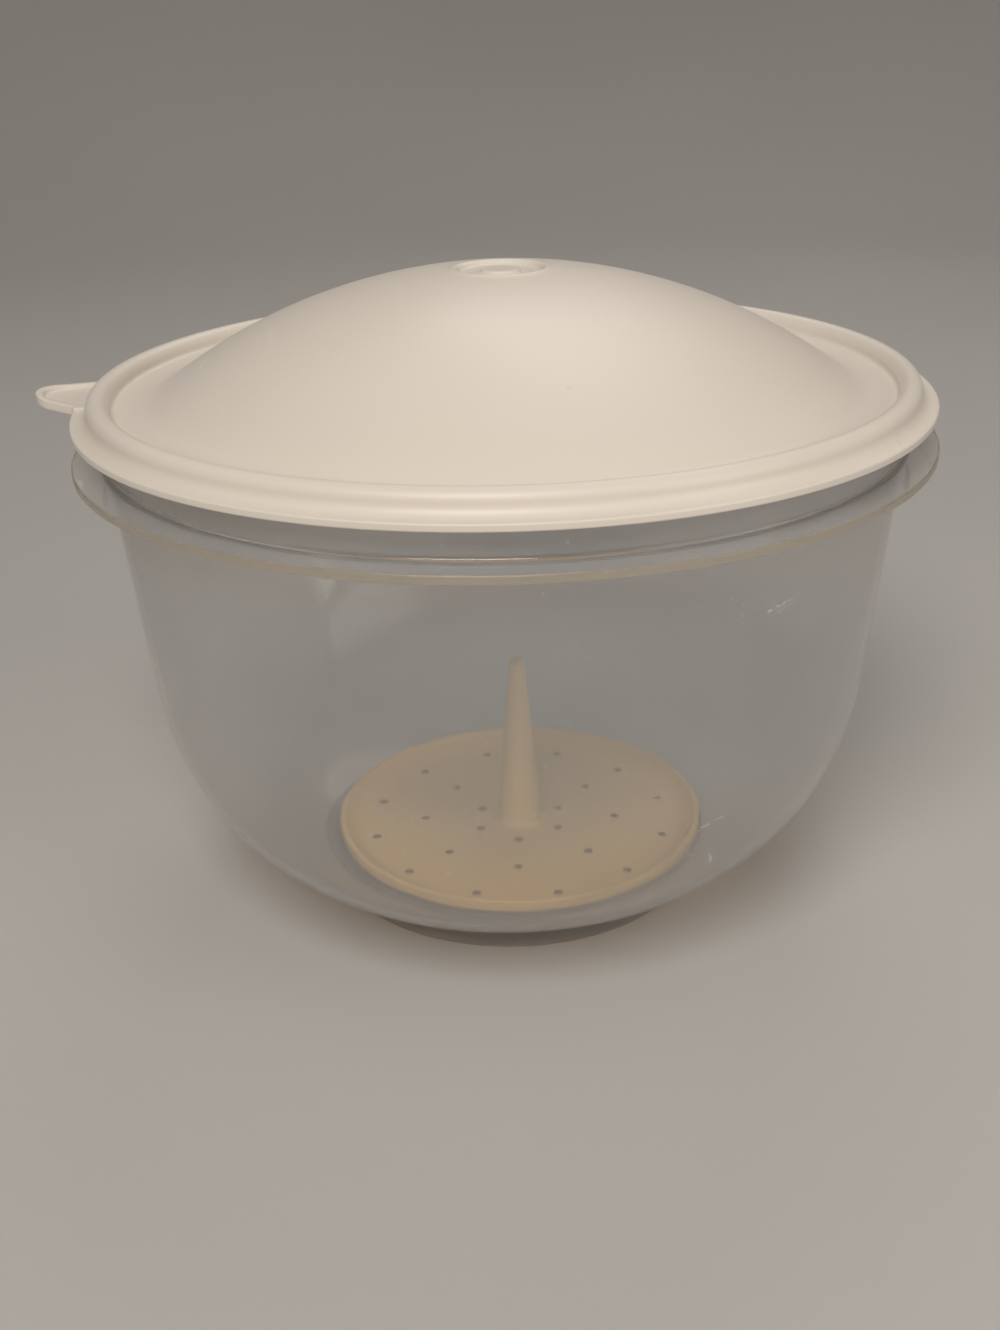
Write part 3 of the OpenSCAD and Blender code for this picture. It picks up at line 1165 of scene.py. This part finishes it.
@dataclass(frozen=True)
class WhitePlastic(Material):
    """Opaque white satin plastic of the lid."""

    name: str = "lid_plastic"
    light: Colour = (0.81, 0.745, 0.665, 1.0)
    shade: Colour = (0.775, 0.705, 0.62, 1.0)
    speck: Colour = (0.60, 0.54, 0.46, 1.0)
    mark: Scuff = Scuff((0.0855, -0.0529, 0.1325), (0.0853, -0.0560, 0.1309), 0.0004, 0.0003, 0.5)
    roughness: float = 0.38
    rough_span: tuple[float, float] = (-0.03, 0.06)
    clouds_per_metre: float = 15.0
    specks_per_metre: float = 260.0
    speck_share: float = 0.02
    speck_strength: float = 0.2
    scratch_amount: float = 0.7
    scratch_rough: float = 0.60
    scratch_height: float = -0.000006

    def tinted(
        self, nodes: Nodes, place: bpy.types.Node, colour: bpy.types.NodeSocket
    ) -> bpy.types.NodeSocket:
        """Adds the colour differences of one piece, here the moulding mark on the brim.

        Args:
            nodes: helper on the material's tree.
            place: the Texture Coordinate node.
            colour: the colour so far.

        Returns:
            The colour's socket.
        """
        return nodes.mixed(self.mark.draw(nodes, place.outputs["Object"]), colour, self.speck)

    def shaders(self, nodes: Nodes, place: bpy.types.Node) -> dict[str, bpy.types.NodeSocket]:
        """Makes the satin surface with its specks, scratches and grain.

        Args:
            nodes: helper on the material's tree.
            place: the Texture Coordinate node.

        Returns:
            Shader socket by the name of the output's socket.
        """
        where = place.outputs["Object"]
        cloud = SoftCloud().use(nodes, Position=where, Per_Metre=self.clouds_per_metre).outputs["Mask"]
        scratch = HairScratches().use(nodes, Position=where, Amount=self.scratch_amount).outputs["Mask"]
        specks = FineSpeckle().use(
            nodes, Position=where, Per_Metre=self.specks_per_metre, Share=self.speck_share
        ).outputs["Mask"]
        colour = nodes.mixed(cloud, self.light, self.shade)
        colour = nodes.mixed(nodes.maths("MULTIPLY", specks, self.speck_strength), colour, self.speck)
        colour = self.tinted(nodes, place, colour)
        least, most = (self.roughness + change for change in self.rough_span)
        rough = nodes.ranged(cloud, 0.0, 1.0, least, most)
        rough = nodes.add("ShaderNodeMix", None, in0=scratch, in2=rough, in3=self.scratch_rough).outputs[0]
        height = MouldedGrain().use(nodes, Position=where).outputs["Height"]
        relief = nodes.maths("ADD", height, nodes.maths("MULTIPLY", scratch, self.scratch_height))
        normal = nodes.add("ShaderNodeBump", None, Strength=1.0, Distance=1.0, Height=relief).outputs[0]
        plastic = nodes.add(
            "ShaderNodeBsdfPrincipled",
            None,
            Base_Color=colour,
            Roughness=rough,
            Normal=normal,
            IOR=1.51,
        )
        return {"Surface": plastic.outputs[0]}


@dataclass(frozen=True)
class InsertPlastic(WhitePlastic):
    """Older, warmer white plastic of the insert, with painted shade in its drain holes and on the middle
    of its plate.
    """

    name: str = "insert_plastic"
    light: Colour = (0.81, 0.58, 0.255, 1.0)
    shade: Colour = (0.74, 0.525, 0.23, 1.0)
    speck: Colour = (0.40, 0.32, 0.23, 1.0)
    # Painted shade on the middle of the plate, which stays lighter towards its front.
    middle: Colour = (0.47, 0.375, 0.22, 1.0)
    # Painted shade on the walls of the drain holes.
    painted_shade: Colour = (0.27, 0.145, 0.03, 1.0)
    middle_shade_share: float = 0.45
    roughness: float = 0.45

    def tinted(
        self, nodes: Nodes, place: bpy.types.Node, colour: bpy.types.NodeSocket
    ) -> bpy.types.NodeSocket:
        """Adds painted shade: a greyer middle of the plate and dark walls in the drain holes.

        Args:
            nodes: helper on the material's tree.
            place: the Texture Coordinate node.
            colour: the colour so far.

        Returns:
            The colour's socket.
        """
        where, facing = place.outputs["Object"], place.outputs["Normal"]
        drain = DrainPaintedShade().use(nodes, Position=where, Normal=facing)
        # Painted shade: a greyer middle of the plate.
        centre = nodes.maths("MULTIPLY", drain.outputs["Middle"], self.middle_shade_share)
        colour = nodes.mixed(centre, colour, self.middle)
        # Painted shade: dark walls in the drain holes.
        return nodes.mixed(drain.outputs["Holes"], colour, self.painted_shade)


@dataclass(frozen=True)
class FloorPaper(Material):
    """Plain pale paper of the floor."""

    name: str = "floor_paper"
    tone: Colour = (0.56, 0.545, 0.525, 1.0)
    shade: float = 0.975
    clouds_per_metre: float = 3.0
    roughness: float = 0.85

    def shaders(self, nodes: Nodes, place: bpy.types.Node) -> dict[str, bpy.types.NodeSocket]:
        """Makes the paper, with a faint cloud.

        Args:
            nodes: helper on the material's tree.
            place: the Texture Coordinate node.

        Returns:
            Shader socket by the name of the output's socket.
        """
        where = place.outputs["Object"]
        cloud = SoftCloud().use(nodes, Position=where, Per_Metre=self.clouds_per_metre).outputs["Mask"]
        darker = tuple(self.shade * c for c in self.tone[:3]) + (1.0,)
        paper = nodes.add(
            "ShaderNodeBsdfPrincipled",
            None,
            Base_Color=nodes.mixed(cloud, self.tone, darker),
            Roughness=self.roughness,
        )
        return {"Surface": paper.outputs[0]}


def dress(piece: bpy.types.Object, node: str, body: Body, finish: Material) -> None:
    """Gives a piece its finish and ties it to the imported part.

    Args:
        piece: the object.
        node: the CAD node that it stands for.
        body: the body that it rides on.
        finish: its material.
    """
    piece.data.materials.clear()
    piece.data.materials.append(finish.build())
    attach(piece, body.value)
    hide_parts(node)


@dataclass
class Bowl:
    """The bowl: wall, belly, floor, foot ring, grip flange and rim."""

    sizes: BowlSizes
    segments: int = 288

    def outline(self) -> list[Point]:
        """Draws the half section, from the axis under the floor round to the axis inside.

        Returns:
            (radius, height) in millimetres.
        """
        s = self.sizes
        foot_r = s.foot_d / 2
        foot_in = foot_r - s.foot_w
        lean = math.radians(s.foot_draft)
        hit = self._foot_meets_belly(foot_r, lean)
        hit_a = math.degrees(math.atan2(hit[1] - s.belly_c[1], hit[0] - s.belly_c[0]))
        in_z = s.floor_z(foot_in, 0.0)
        in_a = math.degrees(math.atan2(in_z - s.belly_c[1], foot_in - s.belly_c[0]))
        mouth = s.mouth_d / 2
        items: list[Point | Corner] = [(0.0, s.foot_h)]
        items += arc(s.belly_c, s.belly_r, -90, in_a, 8)[:-1]
        items += [
            Corner((foot_in, in_z), s.under_fillet),
            Corner((foot_in, 0.0), s.edge),
            Corner((foot_r, 0.0), s.edge),
            Corner(hit, s.under_fillet),
        ]
        items += arc(s.belly_c, s.belly_r, hit_a, -s.shoulder_end, 30)[1:-1]
        items += arc(s.shoulder_c, s.shoulder_r, -s.shoulder_end, -s.wall_draft, 14)
        items += [
            Corner((s.wall_r(s.flange_under), s.flange_under), s.under_fillet),
            Corner((s.flange_r, s.flange_under), s.edge),
            Corner((s.flange_r, s.flange_top), s.edge),
            Corner((s.wall_r(s.flange_top), s.flange_top), s.flange_fillet, 8),
            Corner((mouth, s.rim_top), s.rim_edge),
            Corner((mouth - s.wall_t, s.rim_top), s.rim_edge),
        ]
        items += arc(s.shoulder_c, s.shoulder_r - s.wall_t, -s.wall_draft, -s.shoulder_end, 14)
        items += arc(s.belly_c, s.belly_r - s.wall_t, -s.shoulder_end, -90, 36)[1:]
        items.append((0.0, s.foot_h + s.wall_t))
        return held(rounded(items))

    def _foot_meets_belly(self, foot_r: float, lean: float) -> Point:
        """Finds where the foot ring's outer face meets the belly.

        Args:
            foot_r: radius of the ring's standing edge, in millimetres.
            lean: lean of its outer face, in radians.

        Returns:
            (radius, height) in millimetres.
        """
        s = self.sizes
        ur, uz = math.sin(lean), math.cos(lean)
        dr, dz = foot_r - s.belly_c[0], -s.belly_c[1]
        b = dr * ur + dz * uz
        t = -b - math.sqrt(b * b - (dr * dr + dz * dz - s.belly_r**2))
        return foot_r + t * ur, t * uz

    def build(self, finish: Material) -> bpy.types.Object:
        """Makes and dresses the bowl.

        Args:
            finish: its material.

        Returns:
            The new object.
        """
        piece = to_object(revolved(self.outline(), self.segments), "bowl_shell")
        smoothed(piece)
        dress(piece, "bowl", Body.BOWL, finish)
        return piece


@dataclass
class Lid:
    """The lid: domed cap, crown well, gutter, ridge, flared brim and pull tab."""

    sizes: LidSizes
    segments: int = 288
    root_slack: float = 0.1
    rim_soft: float = 0.9
    rim_steps: int = 8
    dish_insets: tuple[float, ...] = (1.2, 2.4, 3.8, 5.2)

    def outline(self) -> list[Point]:
        """Draws the half section, from the crown out over the ridge and back under to the axis.

        Returns:
            (radius, height) in millimetres.
        """
        s = self.sizes
        well_r, ring = s.well_d / 2, s.well_ring_w / 2
        well_floor = s.well_rim_z - s.well_depth
        boss_r = s.boss_d / 2
        brim_round = min(s.ridge_top - s.ridge_round - s.brim_top, s.brim_w - 2 * s.edge)
        ridge_c = (s.ridge_out_r - s.ridge_round, s.ridge_top - s.ridge_round)
        foot_c = (s.dome_foot_r, s.gutter_z + s.dome_fillet)
        cap_out = 90 - math.degrees(math.asin((well_r + s.edge) / s.cap_r))
        cap_in = 90 - math.degrees(math.asin((well_r + s.lid_t) / s.cap_r))
        groove_round = s.bowl.rim_edge + s.lid_gap
        items: list[Point | Corner] = [
            (0.0, well_floor + s.boss_h),
            Corner((boss_r - 0.1, well_floor + s.boss_h), s.edge),
            Corner((boss_r + s.edge, well_floor), 0.5),
            Corner((well_r - s.well_ring_w - 0.2, well_floor), 0.8),
        ]
        items += arc((well_r - ring, s.well_rim_z - ring), ring, 150, 60, 12)
        items += arc(s.cap_c, s.cap_r, cap_out, 90 - s.dome_slope, 40)
        items += arc(foot_c, s.dome_fillet, 270 - s.dome_slope, 270, 12)
        items.append(Corner((s.ridge_in_r, s.gutter_z), s.gutter_fillet))
        items += arc(ridge_c, s.ridge_round, 180, 0, 28)
        items += arc((s.ridge_out_r + brim_round, s.brim_top + brim_round), brim_round, 180, 270, 10)
        items += [
            Corner((s.brim_r, s.brim_top), s.edge),
            Corner((s.brim_r, s.brim_under), s.edge),
            Corner((s.groove_out_r, s.brim_under), 0.25),
            Corner((s.groove_out_r, s.groove_top), groove_round),
            Corner((s.plug_r(s.groove_top), s.groove_top), groove_round),
            Corner((s.plug_r(s.gutter_under), s.gutter_under), 0.3),
        ]
        items += arc(foot_c, s.dome_fillet + s.lid_t, 270, 270 - s.dome_slope, 12)
        items += arc(s.cap_c, s.cap_r - s.lid_t, 90 - s.dome_slope, cap_in, 40)
        items += [Corner((well_r, well_floor - s.lid_t), 0.5), (0.0, well_floor - s.lid_t)]
        return held(rounded(items))

    def _tab_loop(self, inset: float) -> list[Point]:
        """Draws the tab's plan towards +X, from its +Y root round to its -Y root.

        Its fillets end inside the ridge's wall, so that nothing of the tab reaches into the groove.

        Args:
            inset: distance inside the outer edge, in millimetres.

        Returns:
            (x, y) in millimetres.
        """
        s = self.sizes
        root = Vector((s.brim_r - s.edge, s.tab_w / 2))
        end_c = Vector((s.brim_r + s.tab_reach - s.tab_end_r, 0.0))
        away = root - end_c
        touch = math.atan2(away.y, away.x) - math.acos(s.tab_end_r / away.length)
        out = Vector((math.cos(touch), math.sin(touch)))
        along = Vector((-out.y, out.x))
        corner = root + s.tab_fillet * out
        slope = corner.dot(along)
        slip = -slope - math.sqrt(slope**2 - corner.dot(corner) + (s.brim_r + s.tab_fillet) ** 2)
        fillet_c = corner + slip * along
        brim_a = math.degrees(math.atan2(fillet_c.y, fillet_c.x))
        touch_d = math.degrees(touch)
        root_x = s.ridge_out_r - s.lid_t / 2
        bend = s.tab_fillet + inset
        stop = math.degrees(math.acos(max(-1.0, (root_x + self.root_slack - fillet_c.x) / bend)))
        half = arc(tuple(end_c), s.tab_end_r - inset, 0, touch_d, 20)
        half += arc(tuple(fillet_c), bend, touch_d + 180, max(brim_a + 180, 360 - stop), 8)
        half.append((root_x, half[-1][1]))
        return half[::-1] + [(x, -y) for x, y in half[1:]]

    def _tab(self) -> bpy.types.Object:
        """Makes the tab's closed solid: a swept tongue with a rounded rim round a thumb dish.

        Returns:
            The new object.
        """
        s = self.sizes
        e = s.edge
        turns = [math.radians(15 * i) for i in range(7)]
        section = [(e * (1 - math.cos(a)), e * (1 - math.sin(a))) for a in reversed(turns)]
        section += [(e * (1 - math.cos(a)), s.tab_t - e * (1 - math.sin(a))) for a in turns]
        dish = s.tab_t - s.dish_depth
        for i in range(self.rim_steps + 1):
            share = i / self.rim_steps
            ease = share * share * (3 - 2 * share)
            inset = s.tab_rim_w - self.rim_soft / 2 + self.rim_soft * share
            section.append((inset, s.tab_t + (dish - s.tab_t) * ease))
        section += [(s.tab_rim_w + extra, dish) for extra in self.dish_insets]
        bm = bmesh.new()
        loops = []
        for inset, height in section:
            loop = []
            for x, y in self._tab_loop(inset):
                out = max(0.0, x - s.brim_r)
                lift = s.tab_sweep_r - math.sqrt(s.tab_sweep_r**2 - out**2)
                loop.append(bm.verts.new((-x * MM, -y * MM, (s.brim_under + height + lift) * MM)))
            loops.append(loop)
        for low, high in zip(loops, loops[1:]):
            for i in range(len(low) - 1):
                bm.faces.new((low[i], low[i + 1], high[i + 1], high[i]))
        for loop in (loops[0], loops[-1]):
            half = len(loop) // 2
            for i in range(half):
                a, b, c, d = loop[i], loop[i + 1], loop[-2 - i], loop[-1 - i]
                bm.faces.new((a, b, d) if b is c else (a, b, c, d))
        bm.faces.new([loop[0] for loop in loops] + [loop[-1] for loop in reversed(loops)])
        bmesh.ops.recalc_face_normals(bm, faces=bm.faces[:])
        return to_object(bm, "tab_tool")

    def build(self, finish: Material) -> bpy.types.Object:
        """Makes and dresses the lid.

        Args:
            finish: its material.

        Returns:
            The new object.
        """
        piece = to_object(revolved(self.outline(), self.segments), "lid_shell")
        combined(piece, self._tab(), "UNION")
        smoothed(piece)
        dress(piece, "lid", Body.LID, finish)
        return piece


@dataclass
class SpikedInsert:
    """The insert: drilled plate, sloping flank, skirt and hollow core spike."""

    sizes: InsertSizes
    segments: int = 240
    hole_flare: float = 0.15
    hole_steps: int = 32

    def outline(self) -> list[Point]:
        """Draws the half section, from the core's top over the spike and the plate and back under.

        Returns:
            (radius, height) in millimetres.
        """
        s = self.sizes
        lean = math.radians(s.lean)
        spike_r, tip_r = s.spike_base_d / 2, s.spike_tip_d / 2
        outer = s.insert_d / 2
        across = s.insert_lip_w - s.insert_skirt_t
        flank_r = (across**2 + s.insert_lip_h**2) / (2 * s.insert_lip_h)
        flank_c = (s.plate_r, s.plate_top + flank_r)
        flank_a = math.degrees(math.asin(across / flank_r))
        under_a = math.degrees(math.asin((across - 0.6) / (flank_r + s.insert_t)))
        fillet_r = spike_r - s.spike_fillet * math.tan(lean) + s.spike_fillet / math.cos(lean)
        core_h = s.spike_h - s.spike_t - s.edge
        core_top = (spike_r - s.spike_t - core_h * math.tan(lean), s.plate_top + core_h)
        under = s.plate_top - s.insert_t
        items: list[Point | Corner] = [(0.0, core_top[1]), (0.0, s.plate_top + s.spike_h)]
        items += arc((0.0, s.plate_top + s.spike_h - tip_r), tip_r, 90, s.lean, 14)[1:]
        items += arc((fillet_r, s.plate_top + s.spike_fillet), s.spike_fillet, 180 + s.lean, 270, 10)
        items += arc(flank_c, flank_r, 270, 270 + flank_a, 14)[:-1]
        items += [
            Corner((outer - s.insert_skirt_t, s.lip_z), 0.3, 4),
            Corner((outer, s.lip_z), s.edge),
            Corner((outer, s.skirt_z), 0.3, 4),
            Corner((outer - s.insert_skirt_t, s.skirt_z), 0.3, 4),
        ]
        items += arc(flank_c, flank_r + s.insert_t, 270 + under_a, 270, 12)
        items += [Corner((spike_r - s.spike_t, under), 0.5), core_top]
        return held(rounded(items))

    def _drills(self) -> bpy.types.Object:
        """Makes one closed tool per drain hole, with a slight flare at both faces, in one mesh.

        Returns:
            The new object.
        """
        s = self.sizes
        bm = bmesh.new()
        top, under = s.plate_top, s.plate_top - s.insert_t
        r, flare, steps = s.hole_d / 2, self.hole_flare, self.hole_steps
        wide = r + 2 * flare
        section = ((wide, under - flare), (r, under + flare), (r, top - flare), (wide, top + flare))
        for distance, angle in s.holes():
            cx, cy = distance * math.cos(angle), distance * math.sin(angle)
            rings = [
                [
                    bm.verts.new(((cx + q * math.cos(t)) * MM, (cy + q * math.sin(t)) * MM, z * MM))
                    for t in (math.tau * i / steps for i in range(steps))
                ]
                for q, z in section
            ]
            for low, high in zip(rings, rings[1:]):
                for i in range(steps):
                    j = (i + 1) % steps
                    bm.faces.new((low[i], low[j], high[j], high[i]))
            bm.faces.new(rings[0][::-1])
            bm.faces.new(rings[-1])
        bmesh.ops.recalc_face_normals(bm, faces=bm.faces[:])
        return to_object(bm, "drill_tool")

    def build(self, finish: Material) -> bpy.types.Object:
        """Makes and dresses the insert.

        Args:
            finish: its material.

        Returns:
            The new object.
        """
        piece = to_object(revolved(self.outline(), self.segments), "insert_shell")
        combined(piece, self._drills(), "DIFFERENCE")
        piece.data.transform(Matrix.Translation((self.sizes.insert_slide * MM, 0.0, 0.0)))
        smoothed(piece)
        dress(piece, "spiked_insert", Body.BOWL, finish)
        return piece


@dataclass(frozen=True)
class PhotoCamera:
    """The photograph's viewpoint, fitted to the object's rims."""

    place: tuple[float, float, float] = (0.01113, -0.36987, 0.22099)
    pitch: float = 24.023
    yaw: float = -2.121
    roll: float = 1.545
    focal_px: float = 1517.3
    long_px: float = 1330.0
    sensor: float = 36.0

    def build(self) -> bpy.types.Object:
        """Makes the camera and makes it the scene's own.

        Returns:
            The camera.
        """
        pitch, yaw, roll = (math.radians(a) for a in (self.pitch, self.yaw, self.roll))
        level = math.cos(pitch)
        ahead = Vector((math.sin(yaw) * level, math.cos(yaw) * level, -math.sin(pitch)))
        right = Vector((math.cos(yaw), -math.sin(yaw), 0.0))
        down = ahead.cross(right)
        cos, sin = math.cos(roll), math.sin(roll)
        right, down = right * cos + down * sin, down * cos - right * sin
        data = bpy.data.cameras.new("photo_camera")
        data.sensor_fit = "AUTO"
        data.sensor_width = self.sensor
        data.lens = self.focal_px / self.long_px * self.sensor
        data.clip_start, data.clip_end = 0.01, 20.0
        camera = bpy.data.objects.new("photo_camera", data)
        turn = Matrix((right, -down, -ahead)).transposed().to_4x4()
        camera.matrix_world = Matrix.Translation(self.place) @ turn
        bpy.context.scene.collection.objects.link(camera)
        bpy.context.scene.camera = camera
        return camera


@dataclass(frozen=True)
class SoftBox:
    """One soft area lamp, aimed at the object."""

    name: str
    place: tuple[float, float, float]
    size: float
    watts: float
    colour: tuple[float, float, float] = (1.0, 0.95, 0.89)
    aim: tuple[float, float, float] = (0.0, 0.0, 0.08)

    def build(self) -> bpy.types.Object:
        """Makes the lamp.

        Returns:
            The lamp.
        """
        data = bpy.data.lights.new(self.name, "AREA")
        data.shape = "DISK"
        data.size = self.size
        data.energy = self.watts
        data.color = self.colour
        lamp = bpy.data.objects.new(self.name, data)
        lamp.location = self.place
        lamp.rotation_mode = "QUATERNION"
        lamp.rotation_quaternion = (Vector(self.aim) - Vector(self.place)).to_track_quat("-Z", "Y")
        bpy.context.scene.collection.objects.link(lamp)
        return lamp


@dataclass
class Studio:
    """Round pale floor that curves up into a wall, soft lamps and a quiet surrounding."""

    lamps: tuple[SoftBox, ...] = (
        SoftBox("key_lamp", (-0.15, -0.94, 1.06), 0.70, 11.4),
        SoftBox("fill_lamp", (0.95, -0.60, 0.60), 0.9, 2.6),
        SoftBox("back_lamp", (0.15, 0.95, 1.15), 0.9, 3.0),
    )
    surround: Colour = (0.17, 0.165, 0.16, 1.0)
    wall_r: float = 2000.0
    wall_top: float = 1700.0
    bend: float = 900.0
    segments: int = 128

    def _floor(self) -> bpy.types.Object:
        """Makes the floor sheet with its bend and wall, from sizes in millimetres.

        Returns:
            The new object.
        """
        line = [(0.0, 0.0)]
        line += arc((self.wall_r - self.bend, self.bend), self.bend, -90, 0, 15)
        line.append((self.wall_r, self.wall_top))
        floor = to_object(revolved(line, self.segments, closed=False), "studio_floor")
        smoothed(floor)
        return floor

    def build(self) -> None:
        """Makes the floor, the lamps, the world and the view settings."""
        floor = self._floor()
        floor.data.materials.append(FloorPaper().build())
        for lamp in self.lamps:
            lamp.build()
        world = bpy.data.worlds.new("studio_world")
        world.use_nodes = True
        world.node_tree.nodes["Background"].inputs["Color"].default_value = self.surround
        world.cycles.sampling_method = "NONE"
        scene = bpy.context.scene
        scene.world = world
        scene.view_settings.view_transform = "Standard"
        scene.cycles.max_bounces = 9
        scene.cycles.diffuse_bounces = 2
        scene.cycles.glossy_bounces = 3
        scene.cycles.transmission_bounces = 9
        scene.cycles.volume_bounces = 1
        scene.cycles.transparent_max_bounces = 16


def main() -> None:
    logging.basicConfig(level=logging.INFO, format="%(name)s: %(message)s")
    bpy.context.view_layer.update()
    PhotoCamera().build()
    bowl, lid, insert = BowlSizes(), LidSizes(), InsertSizes()
    finishes = (SheerPlastic(), WhitePlastic(), InsertPlastic())
    for part, finish in zip((Bowl(bowl), Lid(lid), SpikedInsert(insert)), finishes):
        piece = part.build(finish)
        LOG.info("%s: %d faces", piece.name, len(piece.data.polygons))
    Studio().build()


if __name__ == "__main__":
    main()
